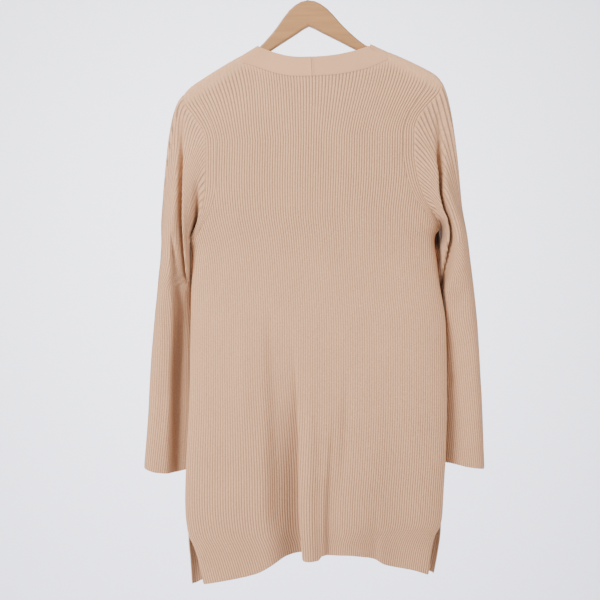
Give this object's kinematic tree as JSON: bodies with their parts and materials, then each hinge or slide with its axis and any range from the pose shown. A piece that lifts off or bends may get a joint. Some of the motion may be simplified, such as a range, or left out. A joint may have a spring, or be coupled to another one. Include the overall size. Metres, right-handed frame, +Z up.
{
  "type": "open-front long rib-knit cardigan on a wooden clothes hanger",
  "caption": "Long open-front ribbed cardigan with set-in sleeves, a plain neckband and side vents, hanging on a flat wooden hanger with a wire hook.",
  "frame": {"origin": "inside top of the hanger's hook, where it rests on a rod", "axes": "+Z up, along the garment's length; the garment's back faces -Y and its open front faces +Y; X runs across the shoulders"},
  "size_m": [0.539, 0.0975, 0.9958],
  "materials": {
    "beige_rib_knit": "soft matt rib knit",
    "beige_plain_knit": "fine matt plain knit",
    "pale_beech": "thin satin varnish",
    "bright_steel": "bright plated wire"
  },
  "bodies": {
    "root": {"back": "beige_rib_knit", "front_left": "beige_rib_knit", "front_right": "beige_rib_knit", "sleeve_left": "beige_rib_knit", "sleeve_right": "beige_rib_knit", "band_left": "beige_plain_knit", "band_right": "beige_plain_knit", "hanger_yoke": "pale_beech", "hanger_hook": "bright_steel"}
  },
  "joints": []
}
